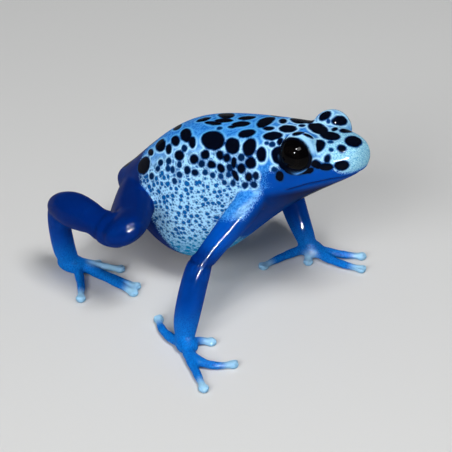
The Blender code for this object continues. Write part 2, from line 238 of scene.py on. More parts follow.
# limb segments: the way their width lies (forward, left, up), then sections of
# forward, left, up, half width, half thickness
forwardWay = (1.0, 0.0, 0.0)
limbs = {
    "sides": 8,
    "endReach": 0.7,
    "endTaper": 0.6,
    "upperArmRight": (forwardWay, (
        (25.8, -3.5, 20.6, 2.4, 2.4),
        (25.7, -6.6, 19.6, 2.6, 2.6),
        (24.8, -9.6, 17.6, 2.3, 2.3),
        (23.6, -12.2, 15.2, 1.95, 1.95),
        (22.7, -14.0, 13.1, 1.95, 1.95),
    )),
    "forearmRight": (forwardWay, (
        (22.4, -14.3, 12.9, 2.25, 2.1),
        (22.2, -15.7, 10.2, 2.35, 2.2),
        (22.2, -17.2, 6.9, 2.4, 2.15),
        (22.2, -18.4, 4.1, 2.3, 1.95),
        (22.6, -19.3, 1.9, 1.85, 1.45),
    )),
    "upperArmLeft": (forwardWay, (
        (25.4, 5.5, 18.6, 2.4, 2.4),
        (25.0, 8.6, 17.4, 2.6, 2.6),
        (23.6, 11.4, 15.3, 2.3, 2.3),
        (21.6, 13.9, 12.9, 2.1, 2.1),
        (20.6, 15.3, 10.9, 2.2, 2.2),
    )),
    "forearmLeft": (forwardWay, (
        (20.7, 15.3, 10.7, 2.2, 2.2),
        (21.6, 14.8, 8.4, 2.4, 2.4),
        (23.5, 13.7, 5.8, 2.2, 2.2),
        (25.3, 12.9, 3.6, 1.9, 1.8),
        (26.1, 12.9, 1.8, 1.75, 1.5),
    )),
    "thighRight": ((0.73, 0.49, 0.47), (
        (2.0, -1.0, 12.2, 3.2, 3.4),
        (4.0, -5.0, 13.0, 3.6, 3.4),
        (6.4, -9.5, 14.0, 4.0, 3.1),
        (8.8, -13.7, 15.0, 4.3, 2.8),
        (10.9, -18.2, 16.6, 4.1, 2.6),
    )),
    "shankRight": (forwardWay, (
        (8.6, -16.1, 14.4, 2.9, 2.9),
        (6.2, -16.5, 15.2, 3.4, 3.5),
        (3.4, -16.4, 15.7, 3.5, 3.7),
        (0.4, -15.8, 15.5, 3.3, 3.5),
        (-2.6, -14.7, 14.7, 2.9, 2.9),
        (-4.6, -13.8, 13.6, 2.4, 2.3),
    )),
    "tarsusRight": (forwardWay, (
        (-4.9, -13.5, 13.0, 2.1, 2.1),
        (-5.5, -12.9, 9.3, 2.0, 2.0),
        (-5.5, -12.3, 6.0, 2.15, 2.0),
        (-5.4, -11.9, 3.4, 2.2, 1.9),
        (-4.9, -11.5, 1.8, 2.1, 1.6),
    )),
    "thighLeft": ((0.78, -0.49, 0.38), (
        (2.0, 4.2, 11.6, 3.2, 3.4),
        (4.0, 8.2, 11.5, 3.6, 3.4),
        (6.4, 12.7, 11.5, 4.0, 3.1),
        (8.8, 16.9, 11.6, 4.3, 2.8),
        (10.7, 21.2, 12.1, 4.1, 2.6),
    )),
    "shankLeft": (forwardWay, (
        (8.6, 19.6, 10.4, 2.9, 2.9),
        (6.0, 19.8, 11.0, 3.4, 3.5),
        (3.2, 19.2, 11.0, 3.5, 3.7),
        (0.2, 18.5, 10.4, 3.3, 3.5),
        (-2.5, 17.3, 9.4, 2.9, 2.9),
        (-4.1, 16.4, 8.3, 2.4, 2.3),
    )),
    "tarsusLeft": (forwardWay, (
        (-4.2, 16.0, 7.8, 2.0, 2.0),
        (-4.5, 15.6, 5.6, 1.9, 1.9),
        (-4.1, 15.2, 3.6, 1.95, 1.8),
        (-3.3, 14.8, 1.9, 1.8, 1.5),
    )),
}


def makeLimb(name):
    wide, sections = limbs[name]
    wideWay = rowWay(*wide)
    centres = [at(*section[:3]) for section in sections]
    rings = []
    for place, (centre, section) in enumerate(zip(centres, sections)):
        before = centres[max(place - 1, 0)]
        after = centres[min(place + 1, len(centres) - 1)]
        along = (after - before).normalized()
        across = along.cross(wideWay).normalized() * section[4] * mm
        side = across.cross(along).normalized() * section[3] * mm
        reach = along * section[4] * limbs["endReach"] * mm
        taper = limbs["endTaper"]
        if place == 0:
            rings.append(ringAt(centre - reach, side * taper, across * taper))
        rings.append(ringAt(centre, side, across))
        if place == len(centres) - 1:
            rings.append(ringAt(centre + reach, side * taper, across * taper))
    return loft(name + "Cage", rings, limbs["sides"], fineness["limbLevels"])


# hands and feet: palm or sole (forward, left, up, half sizes forward, left, up), then
# each digit's root, tip and sideways bow
digits = {
    "sections": 11,
    "sides": 12,
    "radius": 0.68,
    "rootScale": 1.35,
    "tipScale": 0.84,
    "knuckle": 0.09,
    "knuckleHalfWaves": 6,
    "rootHeight": 1.0,
    "tipHeight": 0.50,
    "discSizes": (1.0, 0.90, 0.60),
    "discSink": 0.15,
    "padPlace": (0.28, 0.42, 0.36),
    "padSizes": (0.504, 0.42, 0.336),
    "paleToes": (("footRight", 1), ("footLeft", 1)),
    "paleRun": 0.6,
    "plainRun": 0.01,
    "handRight": ((23.4, -19.9, 1.1, 1.9, 1.6, 1.3), (
        (23.4, -20.0, 25.7, -16.6, -0.8),
        (24.2, -20.9, 31.5, -19.6, 1.7),
        (24.0, -21.0, 30.8, -26.8, 0.0),
        (22.4, -19.8, 15.6, -16.0, -0.9),
    )),
    "handLeft": ((26.8, 12.9, 1.1, 2.1, 1.9, 1.35), (
        (25.8, 12.6, 22.2, 5.2, 0.3),
        (26.4, 12.6, 27.7, 10.2, 0.0),
        (27.2, 12.9, 36.1, 12.9, 0.7),
        (27.2, 13.4, 34.4, 16.1, 0.4),
    )),
    "footRight": ((-4.4, -11.4, 1.1, 2.8, 1.9, 1.35), (
        (-3.6, -10.4, -1.3, -8.7, 0.0),
        (-3.6, -10.4, 2.6, -7.9, 0.1),
        (-3.4, -10.8, 7.5, -10.5, 0.2),
        (-3.4, -11.0, 8.1, -12.2, -0.2),
        (-3.1, -11.9, 1.9, -17.9, -0.3),
    )),
    "footLeft": ((-2.4, 14.6, 1.1, 2.3, 1.8, 1.35), (
        (-1.8, 14.0, -0.2, 11.0, 0.0),
        (-1.6, 14.2, 4.0, 11.8, 0.0),
        (-1.4, 14.6, 9.4, 14.4, 0.2),
        (-1.4, 14.8, 9.4, 16.7, -0.2),
        (-1.8, 15.2, 4.0, 20.6, 0.3),
    )),
}
paws = ("handRight", "handLeft", "footRight", "footLeft")
upWay = Vector((0.0, 0.0, 1.0))


def makeDigit(name, rootForward, rootLeft, tipForward, tipLeft, bow):
    root = at(rootForward, rootLeft, digits["rootHeight"])
    tip = at(tipForward, tipLeft, digits["tipHeight"])
    run = tip - root
    side = run.cross(upWay).normalized()
    last = digits["sections"] - 1
    shares = [step / last for step in range(last + 1)]
    spots = [root + run * share + side * (bow * 4 * share * (1 - share) * mm) for share in shares]
    rings = []
    for step, (share, spot) in enumerate(zip(shares, spots)):
        along = (spots[min(step + 1, last)] - spots[max(step - 1, 0)]).normalized()
        radius = digits["radius"] * (digits["rootScale"] * (1 - share) + digits["tipScale"] * share)
        radius *= 1 + digits["knuckle"] * math.cos(share * digits["knuckleHalfWaves"] * math.pi)
        across = along.cross(side).normalized() * radius * mm
        rings.append(ringAt(spot, across.cross(along).normalized() * radius * mm, across))
    heading = math.atan2(run.y, run.x)
    discPlace = Vector((tip.x, tip.y, (digits["discSizes"][2] - digits["discSink"]) * mm))
    pieces = [loft(name, rings, digits["sides"], fineness["digitLevels"])]
    pieces.append(ball(name + "Disc", discPlace, digits["discSizes"], heading))
    # two small pads on top of each disc
    ahead, aside, above = digits["padPlace"]
    for way in (-1, 1):
        padPlace = discPlace + run.normalized() * ahead * mm + side * way * aside * mm
        padPlace += upWay * above * mm
        pieces.append(ball(name + "Pad", padPlace, digits["padSizes"], heading))
    return pieces


def makePaw(name):
    palm, rows = digits[name]
    pieces = [ball(name + "Palm", at(*palm[:3]), (palm[4], palm[3], palm[5]))]
    for number, row in enumerate(rows):
        pieces += makeDigit(name + "Digit" + str(number), *row)
    return pieces


# eyes: the ball, its place from the body axis, and the opening between the lids. From
# closes to rimEnd the values are radians past the edge of the opening or of the margin.
# holdOff is in ball radii, lowerLid and lineEnd are cosines, and the gaps are from the ball.
eyes = {
    "radius": 2.55,
    "spacing": 11.4,
    "along": 38.0,
    "height": 2.6,
    "lidThickness": 0.55,
    "lidInset": 0.75,
    "openWay": (-0.02, 0.99, 0.06),
    "openAngle": 74.5,
    "openDepth": 0.35,
    "rimHeight": 0.17,
    "rimWidth": 8.0,
    "skinOver": 0.10,
    "lidReach": 1.6,
    "marginWidth": 4.5,
    "linePlace": 3.5,
    "lineWidth": 2.1,
    "closes": (0.02, -0.09),
    "rimPast": 0.11,
    "marginEdge": (0.05, -0.05),
    "rimStart": (0.02, 0.10),
    "rimEnd": (0.50, 0.30),
    "holdOff": (0.35, 0.8),
    "lowerLid": (0.15, -0.25),
    "lineEnd": (0.62, 0.30),
    "lidGap": (0.9, 0.6),
    "lineGap": (0.8, 0.5),
}


def eyeCentre(side, inset=0.0):
    return onBody(eyes["along"], side * (eyes["spacing"] / 2 - inset), eyes["height"])


def eyeWay(side):
    along, out, up = eyes["openWay"]
    return bodyWay(along, side * out, up)


# the skin's mesh
skinMake = {
    "voxel": 0.32,
    "relaxRounds": 4,
    "relaxFactor": 0.5,
    "headFrom": 31.0,
    "headRounds": 5,
    "headBelow": -9.0,
    "headWidth": 10.0,
}


def joined(name, pieces):
    makeActive(pieces[0])
    for piece in pieces:
        piece.select_set(True)
    bpy.ops.object.join()
    whole = bpy.context.object
    whole.name = name
    whole.data.name = name
    return whole


def treeOf(pieces):
    corners = []
    faces = []
    for piece in pieces:
        start = len(corners)
        corners += [corner.co.copy() for corner in piece.data.vertices]
        faces += [[start + index for index in face.vertices] for face in piece.data.polygons]
    return BVHTree.FromPolygons(corners, faces)


def rowsOf(corners, name):
    flat = np.empty(len(corners) * 3)
    corners.foreach_get(name, flat)
    return flat.reshape(-1, 3)


def pointsOf(mesh):
    return rowsOf(mesh.vertices, "co")


def normalsOf(mesh):
    return rowsOf(mesh.vertex_normals, "vector")


def forwardLeftUp(rows):
    return np.stack((-rows[:, 1], rows[:, 0], rows[:, 2]), axis=1)


def bodyNormalsOf(mesh):
    return forwardLeftUp(normalsOf(mesh) @ np.array(bodyPlace.to_3x3()))


def setPoints(mesh, points):
    mesh.vertices.foreach_set("co", points.reshape(-1))
    mesh.update()


def storeValue(mesh, name, values):
    layer = mesh.attributes.new(name, "FLOAT", "POINT")
    layer.data.foreach_set("value", np.asarray(values, dtype=np.float32))


def storeVectors(mesh, name, vectors):
    layer = mesh.attributes.new(name, "FLOAT_VECTOR", "POINT")
    layer.data.foreach_set("vector", np.asarray(vectors, dtype=np.float32).reshape(-1))


def toBody(points):
    # columns: along, left, up from the body axis, in millimetres
    back = np.array(bodyPlace.inverted())
    return forwardLeftUp(points @ back[:3, :3].T + back[:3, 3]) / mm


def toOneSide(points):
    # the same with left counted as distance from the middle, on both sides
    place = toBody(points)
    place[:, 1] = np.abs(place[:, 1])
    return place


def distanceTo(rows, place):
    return np.linalg.norm(rows - np.array(place), axis=1)


def smoothStep(low, high, value):
    share = np.clip((value - low) / (high - low), 0.0, 1.0)
    return share * share * (3 - 2 * share)


def bellCurve(value, width):
    return np.exp(-((value / width) ** 2))


def makeFlesh():
    bodyPiece = makeBody()
    lidRadius = eyes["radius"] + eyes["lidThickness"]
    lids = [ball("lid", eyeCentre(side, eyes["lidInset"]), [lidRadius] * 3) for side in (-1, 1)]
    armPieces = [makeLimb(name) for name in limbs if "arm" in name.lower()]
    legPieces = [makeLimb(name) for name in limbs if name.startswith(("thigh", "shank", "tarsus"))]
    for name in paws:
        (armPieces if "hand" in name else legPieces).extend(makePaw(name))
    trees = {
        "body": treeOf([bodyPiece] + lids),
        "arms": treeOf(armPieces),
        "legs": treeOf(legPieces),
    }
    flesh = joined("skin", [bodyPiece] + lids + armPieces + legPieces)
    applied(flesh, "REMESH", mode="VOXEL", voxel_size=skinMake["voxel"] * mm)
    applied(flesh, "SMOOTH", factor=skinMake["relaxFactor"], iterations=skinMake["relaxRounds"])
    print("skin remeshed to", len(flesh.data.polygons), "faces")
    return flesh, trees


def headMask(mesh):
    place = toBody(pointsOf(mesh))
    onHead = (place[:, 0] > skinMake["headFrom"]) & (place[:, 2] > skinMake["headBelow"])
    return onHead & (np.abs(place[:, 1]) < skinMake["headWidth"])


def refineHead(flesh):
    # the head gets four faces for each one, for lids, nostrils and mouth
    makeActive(flesh)
    mesh = flesh.data
    onHead = headMask(mesh)
    for elements in (mesh.polygons, mesh.edges, mesh.vertices):
        elements.foreach_set("select", [False] * len(elements))
    for polygon in mesh.polygons:
        polygon.select = all(onHead[index] for index in polygon.vertices)
    bpy.ops.object.mode_set(mode="EDIT")
    bpy.ops.mesh.select_mode(type="FACE")
    bpy.ops.mesh.subdivide(number_cuts=1)
    bpy.ops.object.mode_set(mode="OBJECT")
    group = flesh.vertex_groups.new(name="head")
    group.add([int(index) for index in np.nonzero(headMask(mesh))[0]], 1.0, "REPLACE")
    applied(
        flesh, "SMOOTH", factor=skinMake["relaxFactor"], iterations=skinMake["headRounds"],
        vertex_group="head",
    )
    print("head refined, skin has", len(mesh.polygons), "faces")


def shapeLids(flesh):
    # the skin closes round each eye in a raised rim and dips behind the ball inside it
    mesh = flesh.data
    points = pointsOf(mesh)
    ballRadius = eyes["radius"] * mm
    hollow = ballRadius - eyes["openDepth"] * mm
    openAngle, rimWidth, marginWidth, linePlace, lineWidth = [
        math.radians(eyes[name])
        for name in ("openAngle", "rimWidth", "marginWidth", "linePlace", "lineWidth")
    ]
    margin, lidLine, paleRimHighlight = np.zeros((3, len(points)))
    for side in (-1, 1):
        centre = np.array(eyeCentre(side))
        away = points - centre
        reach = np.linalg.norm(away, axis=1)
        close = reach < ballRadius + eyes["lidReach"] * mm
        away, reach = away[close], reach[close]
        heading = away / reach[:, None]
        past = np.arccos(np.clip(heading @ np.array(eyeWay(side)), -1, 1)) - openAngle
        inside = smoothStep(*eyes["closes"], past)
        rim = eyes["rimHeight"] * mm * bellCurve(past - eyes["rimPast"], rimWidth)
        cover = ballRadius + eyes["skinOver"] * mm + rim
        nearBall = smoothStep(*[ballRadius * share for share in eyes["holdOff"]], reach)
        outside = np.maximum(reach, cover * nearBall + reach * (1 - nearBall))
        settled = outside * (1 - inside) + np.minimum(reach, hollow) * inside
        points[close] = centre + heading * settled[:, None]
        # a black margin round the opening, pale skin above it that is partly painted highlight, and a
        # fine blue line below
        below = smoothStep(*eyes["lowerLid"], heading @ np.array(bodyWay(0, 0, 1)))
        behind = smoothStep(*eyes["lineEnd"], heading @ np.array(bodyWay(1, 0, 0)))
        pastMargin = past - marginWidth * (1 + below)
        gap = (settled - ballRadius) / mm
        onLid = smoothStep(*eyes["lidGap"], gap)
        margin[close] = smoothStep(*eyes["marginEdge"], pastMargin) * onLid
        line = bellCurve(past - linePlace, lineWidth)
        lidLine[close] = line * below * behind * smoothStep(*eyes["lineGap"], gap)
        # the pale upper rim is partly pale skin and partly painted highlight
        rimPaleHighlight = smoothStep(*eyes["rimStart"], pastMargin) * smoothStep(*eyes["rimEnd"], past)
        paleRimHighlight[close] = rimPaleHighlight * (1 - below) * onLid
    setPoints(mesh, points)
    storeValue(mesh, "margin", margin)
    storeValue(mesh, "lidLine", lidLine)
    storeValue(mesh, "paleRimHighlight", paleRimHighlight)


# small forms of the face, in body millimetres: along, left, up
face = {
    "nostril": (43.0, 2.6, -0.7),
    "nostrilWidth": 0.26,
    "nostrilDepth": 0.34,
    "nostrilRim": 0.10,
    "nostrilRimWidth": 0.2,
    "nostrilShade": 0.32,
    "mouthAlong": (34.7, 38.2, 41.6, 43.6, 44.8),
    "mouthHeight": (-2.9, -2.4, -2.4, -2.7, -2.8),
    "mouthCorner": 34.6,
    "mouthWidth": 0.18,
    "mouthDepth": 0.24,
    "cornerSoftness": 0.6,
    "lipHeight": 0.10,
    "lipUp": 0.4,
    "lipWidth": 0.3,
    "ridge": ((41.2, 4.6, 1.6), (43.2, 3.0, 0.5)),
    "ridgeWidth": 0.6,
    "ridgeHeight": 0.16,
    "drum": (34.2, 6.9, -0.6),
    "drumRadius": 0.8,
    "drumSoftness": 0.15,
    "drumDepth": 0.10,
    "neckBlend": 1.5,
}


def distanceToPath(place, path):
    best = np.full(len(place), np.inf)
    for start, end in zip(path, path[1:]):
        start, end = np.array(start), np.array(end)
        run = end - start
        share = np.clip((place - start) @ run / (run @ run), 0, 1)
        best = np.minimum(best, np.linalg.norm(place - start - share[:, None] * run, axis=1))
    return best


def shapeFace(flesh):
    mesh = flesh.data
    points = pointsOf(mesh)
    place = toOneSide(points)
    along, height = place[:, 0], place[:, 2]
    nostril = distanceTo(place, face["nostril"])
    push = -face["nostrilDepth"] * bellCurve(nostril, face["nostrilWidth"])
    pastNostril = nostril - 2 * face["nostrilWidth"]
    push += face["nostrilRim"] * bellCurve(pastNostril, face["nostrilRimWidth"])
    corner, softness = face["mouthCorner"], face["cornerSoftness"]
    lips = smoothStep(corner - softness, corner + softness, along)
    mouth = height - np.interp(along, face["mouthAlong"], face["mouthHeight"])
    groove = lips * bellCurve(mouth, face["mouthWidth"])
    push -= face["mouthDepth"] * groove
    push += face["lipHeight"] * lips * bellCurve(mouth - face["lipUp"], face["lipWidth"])
    push += face["ridgeHeight"] * bellCurve(distanceToPath(place, face["ridge"]), face["ridgeWidth"])
    drum = distanceTo(place, face["drum"]) - face["drumRadius"]
    push -= face["drumDepth"] * smoothStep(face["drumSoftness"], -face["drumSoftness"], drum)
    onHead = smoothStep(skinMake["headFrom"], skinMake["headFrom"] + face["neckBlend"], along)
    points += normalsOf(mesh) * (push * onHead * mm)[:, None]
    setPoints(mesh, points)
    # painted shade in the mouth groove and round the nostrils
    return (groove + bellCurve(nostril, face["nostrilShade"])) * onHead


# skin folds across the elbows, knees and heels, darkened with painted shade: limb, and the section
# each lies at
folds = {
    "depth": 0.11,
    "width": 0.26,
    "reach": (4.2, 3.2),
    "shade": 0.6,
    "joints": (
        ("forearmRight", 0), ("forearmLeft", 0), ("tarsusRight", 0), ("tarsusLeft", 0),
        ("shankRight", 1), ("shankLeft", 1),
    ),
}


def shapeFolds(flesh, creaseShade):
    mesh = flesh.data
    points = pointsOf(mesh)
    push = np.zeros(len(points))
    for limb, section in folds["joints"]:
        near = at(*limbs[limb][1][section][:3])
        further = at(*limbs[limb][1][section + 1][:3])
        way = np.array((further - near).normalized())
        away = (points - np.array(near)) / mm
        fold = bellCurve(away @ way, folds["width"])
        fold *= smoothStep(*folds["reach"], np.linalg.norm(away, axis=1))
        push -= folds["depth"] * fold
        # painted shade along each fold
        creaseShade = np.maximum(creaseShade, folds["shade"] * fold)
    points += normalsOf(mesh) * (push * mm)[:, None]
    setPoints(mesh, points)
    storeValue(mesh, "creaseShade", np.clip(creaseShade, 0, 1))


def layOnFloor(flesh):
    points = pointsOf(flesh.data)
    points[:, 2] = np.maximum(points[:, 2], 0.0)
    setPoints(flesh.data, points)


# black spots that the photo shows: middle across and down in the 452 pixel photo, then
# width, height and tilt, anticlockwise in degrees
photoSpots = {
    "farBack": (
        (226.3, 115, 16, 5.5, 0), (223.9, 120.4, 18, 3.6, 0), (213, 123, 17, 3.6, -5),
        (246.9, 117.8, 17, 3.6, 5), (240.9, 124, 18, 5, 5), (265.8, 121.2, 19, 8, 24),
        (268.7, 128.3, 11, 3.4, 3), (203.5, 119.4, 14, 3.2, 13), (177.5, 127, 9, 3.4, 32),
        (232, 126.8, 8, 2.4, 2), (219.5, 128.2, 5, 2.2, 4),
    ),
    "nape": (
        (246.9, 133.2, 17, 7.3, 12), (272.9, 135.7, 19, 7.6, 6), (287.9, 128.6, 17, 7, 0),
        (300.8, 120, 20, 5, -4), (280.1, 141.5, 5, 7, -20), (266.8, 143.2, 3.6, 2.8, 0),
        (272.2, 144.5, 5.5, 4.5, 0),
    ),
    "crown": (
        (324.9, 115.2, 13, 7, 32), (340.4, 120.4, 15, 9.5, 0), (318, 128.1, 20, 9.5, -18),
        (330.1, 135.5, 20, 8, -8), (353.7, 140.6, 17, 10.5, -8),
        (341.7, 148.4, 8.5, 7.5, -20), (319.7, 145, 8, 12, 0), (345.8, 130.6, 12, 3.8, -4),
        (310, 121.7, 7, 3, 8), (302, 125.6, 5, 2.6, 0), (298, 132.6, 11, 2.6, 12),
        (308.5, 135.6, 10, 2.6, -22), (334.8, 129, 6, 3.2, 20), (328.2, 121.4, 2.6, 3, 0),
        (330.5, 142, 5, 2, 0), (331, 149.7, 3.4, 2, -15), (283, 120.9, 7, 4.6, 0),
    ),
    "face": (
        (278.6, 155.5, 11, 18, 10), (279.7, 176, 8.6, 11, 0), (274.5, 169.5, 5, 4, 0),
        (341.7, 165.6, 14.5, 9.5, 5), (325.8, 167, 15, 7.5, 0), (316.5, 164.5, 12, 8, -30),
        (327.3, 158.8, 6, 8, -15), (282.5, 165.5, 12, 5.5, -50), (292, 172.3, 16, 4.5, -14),
        (306, 171.3, 16, 5, 14),
    ),
    "back": (
        (212.8, 139.8, 23, 18.8, -8), (232.4, 145.6, 14, 15.8, 0), (249.3, 146.9, 12.5, 17.6, -20),
        (185.7, 134.4, 11, 13, 0), (175.4, 140.4, 8, 10, 0), (192.4, 142.3, 6, 11, 0),
        (168.5, 148.9, 5.5, 9.7, 0), (160.3, 144.7, 8.5, 12.5, -25), (150.6, 152, 5, 6, 0),
        (143.3, 165.3, 11, 18, -20), (184.3, 148.3, 5, 6, 0),
    ),
    "flank": (
        (261.2, 154.4, 9.3, 14.3, 0), (250.6, 162.9, 10.3, 11, 0), (241.2, 168.3, 8, 9.7, -10),
        (241.2, 157.4, 6, 6.7, 0), (233.8, 162.9, 5, 11, 0), (226.9, 158, 6.5, 8.5, 0),
        (219.9, 155.2, 7, 8.5, 0), (229.4, 167.7, 5, 7, 15), (220.9, 168.3, 6.5, 9, 35),
        (211.5, 164.7, 8, 7.3, 0), (205.1, 154.6, 8, 9, 0), (201.8, 164, 6, 6, 0),
        (194, 159.2, 8, 9, 0), (195.2, 172.5, 6.5, 6, 0), (187.2, 170.1, 5.5, 7.3, 0),
        (179.3, 155.6, 9, 9.7, 0), (179.5, 164.5, 4, 6, 0), (235.4, 175.5, 5, 12, 25),
        (248.7, 176.8, 6.7, 8.5, 0), (255.8, 175.9, 5, 7, 0), (245.1, 185.3, 6, 5.5, 0),
        (253.8, 184.7, 6, 5.5, 0), (233, 183.1, 4.4, 6, 0), (224.5, 182.5, 4.2, 4.2, 0),
        (212.6, 175.2, 4.2, 5.5, 0), (205.1, 172.5, 4.5, 4.5, 0), (220.9, 176.5, 4.6, 5, 0),
        (228.4, 174.8, 4, 5, 0), (168.5, 161, 4.6, 5.5, 0), (160.5, 162.5, 4.6, 5, 0),
        (151.5, 176.3, 4, 6, 0), (157.8, 168.8, 4, 5, 0), (167.8, 168.6, 4, 5.5, 0),
        (172.5, 169.4, 3.6, 6, 0), (179.5, 174.8, 4.5, 5.5, 0), (174.7, 181, 4.5, 5, 20),
    ),
}

# spots on the sides that the photo doesn't show. The values from headUp to facing are
# cosines, and deepest also caps the half axes of the spots that show.
freeSpots = {
    "seed": 11,
    "tries": 9000,
    "backRadius": 1.25,
    "sideRadius": 0.55,
    "headRadius": 0.8,
    "spread": 0.35,
    "gap": 0.42,
    "stretch": 1.5,
    "tailClear": 1.5,
    "headFrom": 33.0,
    "snoutClear": 40.5,
    "headUp": 0.25,
    "lowest": -0.1,
    "sideToBack": (0.1, 0.85),
    "facing": 0.12,
    "offSkin": 0.05,
    "limbLimit": 0.35,
    "shoulderClear": 5.5,
    "depthShare": 0.9,
    "leastDeep": 0.8,
    "deepest": 2.4,
    "outside": 9.0,
    "edgeReach": 2.5,
    "farEdge": 3.0,
    "blackToBlue": (0.65, 0.35),
}


class Spot:
    # a flat elliptical disc on the skin, given by its middle, two half axes and normal
    def __init__(self, middle, first, second, normal):
        self.middle = np.array(middle)
        self.first = np.array(first)
        self.second = np.array(second)
        self.normal = np.array(normal)
        self.reach = max(np.linalg.norm(self.first), np.linalg.norm(self.second))

    def distance(self, points):
        # millimetres outside the disc's edge, negative inside
        away = points - self.middle
        firsts = np.stack((away @ self.first, away @ self.second))
        table = np.array((
            (self.first @ self.first, self.first @ self.second),
            (self.first @ self.second, self.second @ self.second),
        ))
        shares = np.linalg.solve(table, firsts)
        scale = np.maximum(np.linalg.norm(shares, axis=0), 1e-6)
        height = away @ self.normal
        flat = np.linalg.norm(away - height[:, None] * self.normal, axis=1)
        edge = flat * (1 - 1 / scale) / mm
        deep = max(freeSpots["depthShare"] * self.reach / mm, freeSpots["leastDeep"])
        deep = min(deep, freeSpots["deepest"])
        return np.where(np.abs(height) / mm > deep, freeSpots["outside"], edge)


def spotSeen(camera, tree, row):
    across, down, width, height, tilt = row
    origin, way = pixelRay(camera, across, down)
    middle, normal = tree.ray_cast(origin, way)[:2]
    if middle is None:
        return None
    axes = []
    for length, angle in ((width / 2, math.radians(tilt)), (height / 2, math.radians(tilt + 90))):
        origin, way = pixelRay(
            camera, across + length * math.cos(angle), down - length * math.sin(angle)
        )
        facing = way.dot(normal)
        axis = origin + way * ((middle - origin).dot(normal) / facing) - middle
        axes.append(axis * min(1.0, freeSpots["deepest"] * mm / axis.length))
    return Spot(middle, *axes, normal)


def seenSpots(camera, tree):
    rows = [row for part in photoSpots.values() for row in part]
    spots = [spotSeen(camera, tree, row) for row in rows]
    # the far side of the face carries the same eye, ear and nostril patches
    flip = bodyPlace @ Matrix.Scale(-1.0, 4, Vector((1.0, 0.0, 0.0))) @ bodyPlace.inverted()
    turned = flip.to_3x3()
    for spot in [spotSeen(camera, tree, row) for row in photoSpots["face"]]:
        axes = [turned @ Vector(way) for way in (spot.first, spot.second, spot.normal)]
        spots.append(Spot(flip @ Vector(spot.middle), *axes))
    return [spot for spot in spots if spot]


def freeRadius(along, upward):
    if along > freeSpots["snoutClear"]:
        return 0.0
    if along > freeSpots["headFrom"]:
        return freeSpots["headRadius"] if upward > freeSpots["headUp"] else 0.0
    if along < freeSpots["tailClear"] or upward < freeSpots["lowest"]:
        return 0.0
    radii = freeSpots["sideRadius"], freeSpots["backRadius"]
    return float(np.interp(upward, freeSpots["sideToBack"], radii))


def addFreeSpots(mesh, camera, tree, limbShare, spots):
    points, normals = pointsOf(mesh), normalsOf(mesh)
    upward = bodyNormalsOf(mesh)[:, 2]
    place = toOneSide(points)
    nearArm = distanceTo(place, blues["shoulder"]) < freeSpots["shoulderClear"]
    barred = (limbShare > freeSpots["limbLimit"]) | nearArm
    eye = np.array(camera.location)
    rng = random.Random(freeSpots["seed"])
    for attempt in range(freeSpots["tries"]):
        index = rng.randrange(len(points))
        radius = 0.0 if barred[index] else freeRadius(place[index, 0], upward[index])
        if radius == 0.0:
            continue
        # the camera's side has its own spots
        toEye = eye - points[index]
        toEye = toEye / np.linalg.norm(toEye)
        if normals[index] @ toEye > freeSpots["facing"]:
            start = Vector(points[index] + normals[index] * freeSpots["offSkin"] * mm)
            if tree.ray_cast(start, Vector(toEye))[0] is None:
                continue
        radius *= mm * (1 + freeSpots["spread"] * rng.uniform(-1, 1))
        away = distanceTo(np.array([spot.middle for spot in spots]), points[index])
        reaches = np.array([spot.reach for spot in spots])
        if (away < reaches + radius + freeSpots["gap"] * mm).any():
            continue
        normal = Vector(normals[index])
        first = normal.orthogonal().normalized()
        first.rotate(Matrix.Rotation(rng.uniform(0, math.pi), 3, normal))
        second = normal.cross(first)
        stretch = rng.uniform(1.0, freeSpots["stretch"]) ** 0.5
        spots.append(Spot(points[index], first * radius * stretch, second * radius / stretch, normal))


def markSpots(flesh, camera, limbShare):
    mesh = flesh.data
    tree = treeOf([flesh])
    spots = seenSpots(camera, tree)
    seen = len(spots)
    addFreeSpots(mesh, camera, tree, limbShare, spots)
    # small spots are dark blue rather than black
    points = pointsOf(mesh)
    nearest = np.full(len(points), freeSpots["farEdge"])
    tone = np.zeros(len(points))
    for spot in spots:
        reach = spot.reach + freeSpots["edgeReach"] * mm
        close = np.nonzero(distanceTo(points, spot.middle) < reach)[0]
        apart = spot.distance(points[close])
        tone[close[apart < nearest[close]]] = smoothStep(*freeSpots["blackToBlue"], spot.reach / mm)
        nearest[close] = np.minimum(nearest[close], apart)
    storeValue(mesh, "spotTone", tone)
    storeValue(mesh, "spotEdge", nearest + limbShare * freeSpots["farEdge"])
    print("spots placed:", seen, "seen and", len(spots) - seen, "free")


